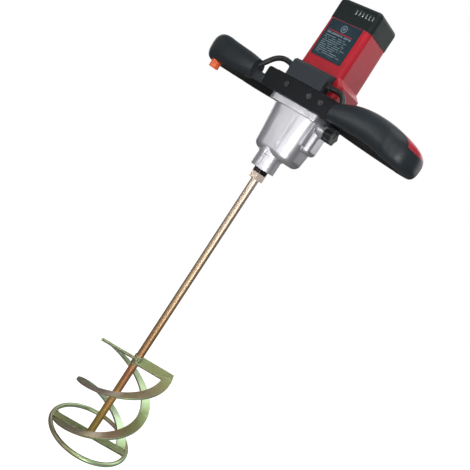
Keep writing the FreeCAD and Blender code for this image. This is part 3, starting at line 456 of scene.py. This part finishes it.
plasticLooks = {
    # motor housing: the pink rubbed colour along its edges is partly wear and partly a painted highlight on
    # the rounded edges
    "motorRed": {
        "colour": (0.43, 0.014, 0.026), "rubbedAndSheen": (0.86, 0.16, 0.21), "rough": 0.36, "grain": 1500.0,
        "depth": 0.000012, "edge": 0.0016, "wearAndSheen": 0.9, "scuffs": 0.25, "shine": 0.28,
    },
    "accentRed": {
        "colour": (0.40, 0.012, 0.030), "rubbedAndSheen": (0.80, 0.10, 0.14), "rough": 0.36, "grain": 1600.0,
        "depth": 0.00001, "edge": 0.001, "wearAndSheen": 0.5, "scuffs": 0.2, "coat": 0.2,
    },
    "capCharcoal": {
        "colour": (0.012, 0.018, 0.018), "rubbedAndSheen": (0.10, 0.11, 0.11), "rough": 0.46, "grain": 1300.0,
        "depth": 0.00003, "edge": 0.0012, "wearAndSheen": 0.5, "scuffs": 0.4, "shine": 0.2,
    },
    "boxCharcoal": {
        "colour": (0.032, 0.038, 0.044), "rubbedAndSheen": (0.13, 0.14, 0.15), "rough": 0.5, "grain": 1500.0,
        "depth": 0.00003, "edge": 0.001, "wearAndSheen": 0.5, "scuffs": 0.3, "shine": 0.2,
    },
    "collarBlack": {
        "colour": (0.007, 0.008, 0.010), "rubbedAndSheen": (0.06, 0.06, 0.07), "rough": 0.38, "grain": 1500.0,
        "depth": 0.00003, "edge": 0.0016, "wearAndSheen": 0.5, "scuffs": 0.4, "shine": 0.15,
    },
    "gripBlack": {
        "colour": (0.019, 0.024, 0.028), "rubbedAndSheen": (0.05, 0.055, 0.06), "rough": 0.34, "grain": 1200.0,
        "depth": 0.000015, "edge": 0.0012, "wearAndSheen": 0.3, "scuffs": 0.35, "shine": 0.3,
    },
    "limbBlack": {
        "colour": (0.012, 0.012, 0.013), "rubbedAndSheen": (0.05, 0.05, 0.055), "rough": 0.45, "grain": 1200.0,
        "depth": 0.00004, "edge": 0.0012, "wearAndSheen": 0.3, "scuffs": 0.3, "shine": 0.2,
    },
    "buttonOrange": {
        "colour": (0.86, 0.13, 0.018), "rubbedAndSheen": (0.95, 0.35, 0.12), "rough": 0.32, "grain": 1500.0,
        "depth": 0.00001, "edge": 0.0008, "wearAndSheen": 0.4, "scuffs": 0.2, "coat": 0.2,
    },
    "knobBlack": {
        "colour": (0.010, 0.013, 0.013), "rubbedAndSheen": (0.07, 0.075, 0.08), "rough": 0.36, "grain": 1400.0,
        "depth": 0.00003, "edge": 0.001, "wearAndSheen": 0.5, "scuffs": 0.3,
    },
    "leadRubber": {
        "colour": (0.010, 0.010, 0.011), "rubbedAndSheen": (0.03, 0.03, 0.03), "rough": 0.42, "grain": 2200.0,
        "depth": 0.00002, "edge": 0.0008, "wearAndSheen": 0.2, "scuffs": 0.2,
    },
    "sealRubber": {
        "colour": (0.008, 0.008, 0.008), "rubbedAndSheen": (0.02, 0.02, 0.02), "rough": 0.6, "grain": 2200.0,
        "depth": 0.00002, "edge": 0.0006, "wearAndSheen": 0.2, "scuffs": 0.1,
    },
    "brushBrown": {
        "colour": (0.07, 0.035, 0.015), "rubbedAndSheen": (0.14, 0.08, 0.04), "rough": 0.55, "grain": 900.0,
        "depth": 0.00003, "edge": 0.0006, "wearAndSheen": 0.3, "scuffs": 0.2,
    },
    "boardGreen": {
        "colour": (0.01, 0.12, 0.04), "rubbedAndSheen": (0.2, 0.18, 0.05), "rough": 0.35, "grain": 700.0,
        "depth": 0.00002, "edge": 0.0004, "wearAndSheen": 0.5, "scuffs": 0.0, "coat": 0.4,
    },
    "fanGrey": {
        "colour": (0.05, 0.05, 0.055), "rubbedAndSheen": (0.1, 0.1, 0.1), "rough": 0.5, "grain": 900.0,
        "depth": 0.00003, "edge": 0.0006, "wearAndSheen": 0.3, "scuffs": 0.1,
    },
}

metalLooks = {
    "bearingSteel": {
        "colour": (0.60, 0.60, 0.62), "second": (0.52, 0.53, 0.56), "bright": (0.8, 0.8, 0.8),
        "rough": 0.22, "pitch": 4000.0, "patches": 60.0, "depth": 0.000006, "edge": 0.0005, "wearAndSheen": 0.5,
        "metal": 1.0,
    },
    "gearSteel": {
        "colour": (0.42, 0.42, 0.44), "second": (0.34, 0.33, 0.33), "bright": (0.7, 0.7, 0.7),
        "rough": 0.3, "pitch": 1800.0, "patches": 90.0, "depth": 0.00001, "edge": 0.0004, "wearAndSheen": 0.6,
        "metal": 1.0,
    },
    "statorSteel": {
        "colour": (0.20, 0.20, 0.21), "second": (0.15, 0.13, 0.12), "bright": (0.5, 0.5, 0.5),
        "rough": 0.45, "pitch": 900.0, "patches": 70.0, "depth": 0.00008, "edge": 0.0005, "wearAndSheen": 0.5,
        "metal": 1.0,
    },
    "woundCopper": {
        "colour": (0.62, 0.24, 0.10), "second": (0.45, 0.14, 0.06), "bright": (0.85, 0.5, 0.3),
        "rough": 0.32, "pitch": 1200.0, "patches": 120.0, "depth": 0.0001, "edge": 0.0005, "wearAndSheen": 0.4,
        "metal": 1.0,
    },
    "screwBlack": {
        "colour": (0.085, 0.085, 0.09), "second": (0.06, 0.06, 0.062), "bright": (0.4, 0.4, 0.41),
        "rough": 0.34, "pitch": 2500.0, "patches": 220.0, "depth": 0.000008, "edge": 0.0003,
        "wearAndSheen": 0.55, "metal": 1.0,
    },
    "spindleBlack": {
        "colour": (0.03, 0.03, 0.032), "second": (0.05, 0.048, 0.045), "bright": (0.45, 0.45, 0.46),
        "rough": 0.2, "pitch": 1500.0, "patches": 130.0, "depth": 0.000008, "edge": 0.0006, "wearAndSheen": 0.6,
        "metal": 1.0,
    },
    "grilleGrey": {
        "colour": (0.52, 0.54, 0.54), "second": (0.42, 0.44, 0.44), "bright": (0.6, 0.6, 0.6),
        "rough": 0.4, "pitch": 1500.0, "patches": 150.0, "depth": 0.00001, "edge": 0.0003, "wearAndSheen": 0.4,
        "metal": 0.6,
    },
}

finishes = {}
for name, look in plasticLooks.items():
    finishes[name] = plasticFinish(name, look)
for name, look in metalLooks.items():
    finishes[name] = metalFinish(name, look)

finishes["castAluminium"] = castAluminium({
    "colour": (0.62, 0.62, 0.65), "bright": (0.86, 0.86, 0.88), "rough": 0.38, "metal": 0.9,
    "grain": 1500.0, "pitch": 1600.0, "depth": 0.00003, "edge": 0.0012, "wearAndSheen": 0.7, "neckTop": 0.0265,
    "blend": 0.0005,
})
# olive zinc: the ramp's darker brown end is painted shade and its lighter green end painted sheen, mixed with
# the film's own random tone
finishes["oliveZinc"] = zincPlate("oliveZinc", {
    "stops": [(0.0, (0.36, 0.28, 0.23)), (0.22, (0.35, 0.29, 0.19)), (0.42, (0.26, 0.25, 0.11)),
              (0.62, (0.26, 0.32, 0.14)), (0.80, (0.44, 0.58, 0.32)), (1.0, (0.64, 0.80, 0.54))],
    "bright": (0.72, 0.66, 0.66), "rough": 0.31, "metal": 0.85, "scale": 13.0, "paintedSheen": 0.74,
    "pitch": 700.0, "depth": 0.00001, "edge": 0.0008, "wearAndSheen": 0.45,
})
finishes["goldShaft"] = goldShaft({
    "upper": (0.70, 0.52, 0.36), "top": 0.0, "bottom": -0.55, "rough": 0.40, "metal": 0.92,
    "scale": 16.0, "drift": 0.03, "pitch": 1500.0, "lineGloss": 0.3, "depth": 0.000001, "edge": 0.0005,
    "stops": [(0.0, (0.84, 0.72, 0.62)), (0.10, (0.64, 0.50, 0.39)), (0.35, (0.58, 0.43, 0.29)),
              (0.62, (0.50, 0.31, 0.15)), (0.80, (0.55, 0.25, 0.12)), (0.92, (0.60, 0.38, 0.12)),
              (1.0, (0.50, 0.34, 0.09))],
})
finishes["printedLabel"] = printedLabel({
    "ground": (0.014, 0.031, 0.044), "second": (0.019, 0.040, 0.054), "ink": (0.20, 0.26, 0.30),
    "red": (0.45, 0.03, 0.05), "inkCover": 0.75, "bandCover": 0.8, "fade": 60.0, "shine": 0.22,
    "depth": 0.00002, "edge": 0.0004,
    "rows": 20.0, "letters": 24.0, "barHalf": 0.2, "rowGaps": 0.2, "rowEnds": (0.62, 0.9),
    "margin": 0.08, "rowsTop": 0.60, "headUp": 0.655, "headHalf": 0.022, "headEnd": 0.86, "headGaps": 0.12,
    "bandUp": 0.715, "bandHalf": 0.012,
    "badge": 0.0052, "badgeUp": 0.845, "ringHalf": 0.0009, "centreShare": 0.45,
})
print("finishes ready:", len(finishes))


# finishes of the mixer's own parts

slotFinish = {
    "cast_aluminium": "castAluminium", "bearing_steel": "bearingSteel", "seal_rubber": "sealRubber",
    "red_plastic": "motorRed", "stator_steel": "statorSteel", "copper": "woundCopper",
    "brush_plastic": "brushBrown", "cap_plastic": "capCharcoal", "label": "printedLabel",
    "collar_plastic": "collarBlack", "grip_plastic": "gripBlack", "limb_plastic": "limbBlack",
    "switch_plastic": "fanGrey", "box_plastic": "boxCharcoal", "circuit_board": "boardGreen",
    "lead_rubber": "leadRubber", "screw_steel": "screwBlack", "spindle_steel": "spindleBlack",
    "gear_steel": "gearSteel", "fan_plastic": "fanGrey", "gold_zinc": "goldShaft",
    "olive_zinc": "oliveZinc", "trigger_plastic": "limbBlack", "lock_plastic": "buttonOrange",
    "knob_plastic": "knobBlack",
}
ownFinish = {"grip_accent": "accentRed"}

for part in frame["record"]["subparts"]:
    piece = nodes[part["node"]]
    finish = ownFinish.get(part["node"], slotFinish[part["material_slot"]])
    if not piece.material_slots:
        piece.data.materials.append(None)
    for place in piece.material_slots:
        place.material = finishes[finish]
print("parts painted")


# helpers for repeated detail

def geometryTree(name, inputs):
    tree = bpy.data.node_groups.new(name, "GeometryNodeTree")
    tree.interface.new_socket("Geometry", in_out="INPUT", socket_type="NodeSocketGeometry")
    for label, kind, value in inputs:
        socket = tree.interface.new_socket(label, in_out="INPUT", socket_type=kind)
        if value is not None:
            socket.default_value = value
    tree.interface.new_socket("Geometry", in_out="OUTPUT", socket_type="NodeSocketGeometry")
    entry = tree.nodes.new("NodeGroupInput")
    leave = tree.nodes.new("NodeGroupOutput")
    return tree, entry.outputs, leave.inputs


def closeTree(tree, geometry, finish, result):
    real = addNode(tree, "GeometryNodeRealizeInstances", {"Geometry": geometry}).outputs[0]
    shaded = addNode(tree, "GeometryNodeSetShadeSmooth", {"Geometry": real, "Shade Smooth": True}).outputs[0]
    painted = addNode(tree, "GeometryNodeSetMaterial", {"Geometry": shaded, "Material": finish}).outputs[0]
    tree.links.new(painted, result["Geometry"])


def growPiece(name, mesh, tree, values, body):
    piece = bpy.data.objects.new(name, mesh)
    scene.collection.objects.link(piece)
    grower = piece.modifiers.new("grow", "NODES")
    grower.node_group = tree
    for item in tree.interface.items_tree:
        if item.item_type == "SOCKET" and item.in_out == "INPUT" and item.name in values:
            grower[item.identifier] = values[item.name]
    bpy.context.view_layer.update()
    shape = piece.evaluated_get(bpy.context.evaluated_depsgraph_get())
    baked = bpy.data.meshes.new_from_object(shape)
    piece.modifiers.remove(grower)
    piece.data = baked
    baked.name = name
    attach(piece, body)
    return piece


def meshFrom(name, make):
    shape = bmesh.new()
    make(shape)
    mesh = bpy.data.meshes.new(name)
    bmesh.ops.recalc_face_normals(shape, faces=shape.faces)
    shape.to_mesh(mesh)
    shape.free()
    for face in mesh.polygons:
        face.use_smooth = True
    return mesh


def softBlock(size, round, steps=2):
    def make(shape):
        bmesh.ops.create_cube(shape, size=1.0)
        bmesh.ops.scale(shape, vec=size, verts=shape.verts)
        bmesh.ops.bevel(shape, geom=shape.edges[:], offset=round, segments=steps, profile=0.5, affect="EDGES")
    return make


# a row: one modelled rib or screw, repeated in equal steps

def makeRowTree():
    tree, given, result = geometryTree("rowOfParts", [
        ("Start", "NodeSocketVector", (0.0, 0.0, 0.0)), ("Step", "NodeSocketVector", (0.0, 0.0, 0.01)),
        ("Count", "NodeSocketInt", 5), ("Turn", "NodeSocketRotation", None),
        ("Finish", "NodeSocketMaterial", None),
    ])
    line = addNode(tree, "GeometryNodeMeshLine", {
        "Count": given["Count"], "Start Location": given["Start"], "Offset": given["Step"]}, mode="OFFSET")
    copies = addNode(tree, "GeometryNodeInstanceOnPoints", {
        "Points": line.outputs[0], "Instance": given["Geometry"], "Rotation": given["Turn"]})
    closeTree(tree, copies.outputs[0], given["Finish"], result)
    return tree


# a ring: one modelled rib repeated round an axis along X

def makeRingTree():
    tree, given, result = geometryTree("ringOfParts", [
        ("Centre", "NodeSocketVector", (0.0, 0.0, 0.0)), ("Radius", number, 0.01),
        ("Count", "NodeSocketInt", 12), ("Finish", "NodeSocketMaterial", None),
    ])
    circle = addNode(tree, "GeometryNodeMeshCircle", {"Vertices": given["Count"], "Radius": given["Radius"]})
    outward = addNode(tree, "FunctionNodeAlignRotationToVector", {
        "Vector": addNode(tree, "GeometryNodeInputPosition").outputs[0]}, axis="X")
    copies = addNode(tree, "GeometryNodeInstanceOnPoints", {
        "Points": circle.outputs[0], "Instance": given["Geometry"], "Rotation": outward.outputs[0]})
    stood = addNode(tree, "GeometryNodeTransform", {
        "Geometry": copies.outputs[0], "Rotation": (0.0, math.pi / 2, 0.0), "Translation": given["Centre"]})
    closeTree(tree, stood.outputs[0], given["Finish"], result)
    return tree


# weld beads: overlapping blobs along each seam

def makeBeadTree():
    tree, given, result = geometryTree("weldBeads", [
        ("Spacing", number, 0.001), ("Size", number, 0.0016), ("Unevenness", number, 0.3),
        ("Largest", number, 1.15), ("Seed", "NodeSocketInt", 4), ("Finish", "NodeSocketMaterial", None),
    ])
    seam = addNode(tree, "GeometryNodeMeshToCurve", {"Mesh": given["Geometry"]}).outputs[0]
    spots = addNode(tree, "GeometryNodeCurveToPoints", {
        "Curve": seam, "Length": given["Spacing"]}, mode="LENGTH")
    blob = addNode(tree, "GeometryNodeMeshIcoSphere", {"Radius": given["Size"], "Subdivisions": 2}).outputs[0]
    small = calc(tree, "SUBTRACT", 1.0, given["Unevenness"])
    size = addNode(tree, "FunctionNodeRandomValue", {
        2: small, 3: given["Largest"], "Seed": given["Seed"]}, data_type="FLOAT")
    copies = addNode(tree, "GeometryNodeInstanceOnPoints", {
        "Points": spots.outputs[0], "Instance": blob, "Scale": size.outputs[1]})
    closeTree(tree, copies.outputs[0], given["Finish"], result)
    return tree


rowTree = makeRowTree()
ringTree = makeRingTree()
beadTree = makeBeadTree()


# ribs on the gearbox's web

webRibs = {"size": (0.0016, 0.0066, 0.0012), "round": 0.0004, "lean": -22.0, "reach": 0.0335,
           "centre": (0.015, 0.004), "flange": 0.011, "drop": 0.0385, "count": 15, "step": 0.0024}


def addWebRibs(look):
    low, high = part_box("gearbox_housing")
    lean = math.radians(look["lean"])
    foot = Vector((*look["centre"], high.z - look["flange"] - look["drop"]))
    start = foot + Vector((math.cos(lean), math.sin(lean), 0)) * look["reach"]
    growPiece("webRibs", meshFrom("webRib", softBlock(look["size"], look["round"])), rowTree, {
        "Start": start, "Step": (0.0, 0.0, look["step"]), "Count": look["count"],
        "Turn": (0.0, 0.0, lean), "Finish": finishes["castAluminium"]}, "housing")


# grip nuts on the two cable glands

glandRibs = {"size": (0.0010, 0.0011, 0.0042), "round": 0.0003, "radius": 0.0054, "outward": 0.0012,
             "count": 16}


def addGlandRibs(look):
    rib = meshFrom("glandRib", softBlock(look["size"], look["round"]))
    for side, sign in (("left", -1), ("right", 1)):
        low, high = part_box("gland_" + side)
        middle = (low + high) / 2
        middle.x += sign * look["outward"]
        growPiece("glandRibs_" + side, rib.copy(), ringTree, {
            "Centre": middle, "Radius": look["radius"], "Count": look["count"],
            "Finish": finishes["leadRubber"]}, "housing")


# fins behind the cap's slots

capFins = {"size": (0.0052, 0.0006, 0.0105), "round": 0.0002, "pitch": 0.0066, "count": 6, "first": -0.0007,
           "wall": 0.0011, "drop": 0.0150}


def addCapFins(look):
    low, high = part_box("motor_cap")
    fin = meshFrom("capFin", softBlock(look["size"], look["round"], steps=1))
    growPiece("capFins", fin, rowTree, {
        "Start": (look["first"], low.y + look["wall"], high.z - look["drop"]),
        "Step": (look["pitch"], 0.0, 0.0), "Count": look["count"], "Turn": (0.0, 0.0, 0.0),
        "Finish": finishes["grilleGrey"]}, "housing")


# countersunk screws that close the handles from behind

handleScrews = {"radius": 0.0031, "height": 0.0016, "neck": 0.8, "sides": 28, "rim": 0.16, "dish": 0.0002,
                "socket": 0.4, "socketDepth": 0.0009, "first": 0.075, "sunk": 0.0005, "step": 0.052}


def topFace(faces):
    return max(faces, key=lambda f: f.calc_center_median().y)


def screwHead(look):
    def make(shape):
        turn = Matrix.Rotation(-math.pi / 2, 4, "X")
        bmesh.ops.create_cone(
            shape, cap_ends=True, segments=look["sides"], radius1=look["radius"] * look["neck"],
            radius2=look["radius"], depth=look["height"], matrix=turn)
        bmesh.ops.inset_individual(
            shape, faces=[topFace(shape.faces)], thickness=look["radius"] * look["rim"], depth=look["dish"])
        bmesh.ops.inset_individual(
            shape, faces=[topFace(shape.faces)], thickness=look["radius"] * look["socket"], depth=0.0)
        discs = [f for f in shape.faces if len(f.verts) == look["sides"]]
        socket = max(discs, key=lambda f: f.calc_center_median().y - f.calc_area())
        bmesh.ops.translate(shape, vec=(0, -look["socketDepth"], 0), verts=socket.verts)
    return make


def addHandleScrews(look):
    head = meshFrom("handleScrew", screwHead(look))
    for side, sign in (("left", -1), ("right", 1)):
        low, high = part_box(side + "_rear_limb")
        growPiece("handleScrews_" + side, head.copy(), rowTree, {
            "Start": (sign * look["first"], high.y - look["sunk"], (low.z + high.z) / 2),
            "Step": (sign * look["step"], 0.0, 0.0), "Count": 2, "Turn": (0.0, 0.0, 0.0),
            "Finish": finishes["screwBlack"]}, "housing")


# welds of the paddle: round the shaft, along the lower bar's edges, on the ring and at the arms' tips

paddleWelds = {"spacing": 0.0011, "size": 0.0016, "unevenness": 0.35, "seed": 7, "azimuth": 40.0,
               "shaft": 0.0072, "hubHalf": 0.0078, "barTop": 0.0022, "barHalf": 0.0088, "barEnd": 0.0038,
               "seamIn": 0.004, "seamOut": 0.002, "ring": 0.076, "ringTop": 0.003, "ringIn": 0.0022,
               "ringSpan": 0.13, "tip": 0.0705, "armHalf": 0.009, "pitch": 30.0}


def weldArc(shape, level, radius, first, last, steps=16):
    before = None
    for k in range(steps + 1):
        a = first + (last - first) * k / steps
        spot = shape.verts.new((radius * math.cos(a), radius * math.sin(a), level))
        if before:
            shape.edges.new((before, spot))
        before = spot


def weldLine(shape, start, end):
    shape.edges.new((shape.verts.new(start), shape.verts.new(end)))


def weldSeams(look):
    ringLow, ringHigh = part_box("mixing_ring")
    armLow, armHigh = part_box("top_arm")
    ringZ = (ringLow.z + ringHigh.z) / 2
    armZ = (armLow.z + armHigh.z) / 2
    azimuth = math.radians(look["azimuth"])
    pitch = math.radians(look["pitch"])

    def make(shape):
        for level in (armZ + look["hubHalf"], armZ - look["hubHalf"], ringZ + look["barTop"]):
            weldArc(shape, level, look["shaft"], 0, 2 * math.pi, 32)
        for turn in (0, math.pi):
            middle = azimuth + turn
            out = Vector((math.cos(middle), math.sin(middle), 0))
            side = Vector((-out.y, out.x, 0))
            for edge in (-look["barHalf"], look["barHalf"]):
                spot = out * (look["ring"] - look["barEnd"]) + side * edge
                start = (*(spot - out * look["seamIn"]).xy, ringZ + look["barTop"])
                end = (*(spot + out * look["seamOut"]).xy, ringZ + look["ringTop"])
                weldLine(shape, start, end)
            weldArc(shape, ringZ + look["ringTop"], look["ring"] - look["ringIn"],
                    middle - look["ringSpan"], middle + look["ringSpan"])
            across = (side * math.cos(pitch) + Vector((0, 0, math.sin(pitch)))) * look["armHalf"]
            tip = out * look["tip"] + Vector((0, 0, armZ))
            weldLine(shape, tip - across, tip + across)
    return make


def addPaddleWelds(look):
    growPiece("paddleWelds", meshFrom("weldSeams", weldSeams(look)), beadTree, {
        "Spacing": look["spacing"], "Size": look["size"], "Unevenness": look["unevenness"],
        "Seed": look["seed"], "Finish": finishes["oliveZinc"]}, "spindle")


addWebRibs(webRibs)
addGlandRibs(glandRibs)
addCapFins(capFins)
addHandleScrews(handleScrews)
addPaddleWelds(paddleWelds)
print("repeated details made")


# floor, sky and lights

studio = {
    "floorDrop": 0.25, "floorReach": 9.0, "floorRough": 0.9, "floorShade": (0.24, 0.24, 0.24),
    "sky": 1.0, "skyFront": (0.50, -0.75, 0.42),
    "skyStops": [(0.0, (0.28, 0.28, 0.285)), (0.40, (0.18, 0.18, 0.185)), (0.66, (0.20, 0.20, 0.21)),
                 (1.0, (0.30, 0.30, 0.31))],
}


def makeFloor(look):
    low, high = cadBox
    mesh = meshFrom("floor", lambda shape: bmesh.ops.create_grid(
        shape, x_segments=4, y_segments=4, size=look["floorReach"]))
    mesh.transform(Matrix.Translation((0, 0, low.z - look["floorDrop"])))
    floor = bpy.data.objects.new("floor", mesh)
    scene.collection.objects.link(floor)
    material, tree, shader = newFinish("paleFloor", look["floorShade"])
    shader.inputs["Base Color"].default_value = (*look["floorShade"], 1.0)
    shader.inputs["Roughness"].default_value = look["floorRough"]
    shader.inputs["Emission Color"].default_value = (1.0, 1.0, 1.0, 1.0)
    seen = addNode(tree, "ShaderNodeLightPath").outputs["Is Camera Ray"]
    setInput(tree, shader.inputs["Emission Strength"], seen)      # the camera sees it white
    mesh.materials.append(material)


def makeSky(look):
    world = bpy.data.worlds.new("studioSky")
    scene.world = world
    world.use_nodes = True
    tree = world.node_tree
    tree.nodes.clear()
    way = addNode(tree, "ShaderNodeTexCoord").outputs["Generated"]
    toFront = addNode(tree, "ShaderNodeVectorMath", {0: way, 1: look["skyFront"]}, operation="DOT_PRODUCT")
    shade = rampOf(tree, remap(tree, toFront.outputs["Value"], -1.0, 1.0), look["skyStops"])
    seen = addNode(tree, "ShaderNodeLightPath").outputs["Is Camera Ray"]
    colour = blendColours(tree, seen, shade, (1.0, 1.0, 1.0))
    sky = addNode(tree, "ShaderNodeBackground", {"Color": colour, "Strength": look["sky"]})
    leave = addNode(tree, "ShaderNodeOutputWorld")
    tree.links.new(sky.outputs[0], leave.inputs["Surface"])


lamps = {
    "cardLeft": {"place": (-1.25, -0.45, 0.0), "aim": (0.0, 0.0, 0.0), "size": (0.4, 1.3), "power": 0.3},
    "cardFront": {"place": (-0.75, -1.2, -0.1), "aim": (0.0, 0.0, 0.0), "size": (0.34, 1.4), "power": 1.3},
    "gripSpot": {"place": (-0.53, -1.16, 0.1), "aim": (0.15, -0.05, 0.13), "size": (0.16, 0.16),
                 "power": 1.2},
    "cardNear": {"place": (0.15, -1.4, -0.05), "aim": (0.0, 0.0, 0.0), "size": (0.45, 1.2), "power": 3.6},
    "cardMiddle": {"place": (0.62, -1.0, -0.35), "aim": (0.0, 0.0, -0.3), "size": (0.14, 1.2), "power": 2.8},
    "cardRight": {"place": (1.15, -0.75, -0.30), "aim": (0.0, 0.0, 0.0), "size": (0.40, 0.9), "power": 8.0},
    "sideBack": {"place": (0.75, 1.2, 0.45), "aim": (0.0, 0.0, 0.2), "size": (0.8, 0.8), "power": 2.4},
    "cardBack": {"place": (-0.1, 1.15, 0.75), "aim": (0.0, 0.0, -0.45), "size": (1.2, 1.0), "power": 5.5},
    "leftBack": {"place": (-1.1, 0.65, 0.3), "aim": (0.0, 0.0, -0.45), "size": (0.7, 0.7), "power": 2.4},
    "cardTop": {"place": (-0.1, 0.45, 1.5), "aim": (0.0, 0.0, -0.3), "size": (1.8, 1.4), "power": 6.5},
    "overhead": {"place": (0.35, -0.7, 1.5), "aim": (0.0, 0.0, 0.0), "size": (1.4, 1.4), "power": 13.0},
}


def makeLamp(name, look):
    data = bpy.data.lights.new(name, "AREA")
    data.shape = "RECTANGLE"
    data.size, data.size_y = look["size"]
    data.energy = look["power"]
    lamp = bpy.data.objects.new(name, data)
    lamp.location = look["place"]
    lamp.rotation_euler = (Vector(look["place"]) - Vector(look["aim"])).to_track_quat("Z", "Y").to_euler()
    scene.collection.objects.link(lamp)


makeFloor(studio)
makeSky(studio)
for name, look in lamps.items():
    makeLamp(name, look)
scene.view_settings.view_transform = "Standard"
print("studio ready")
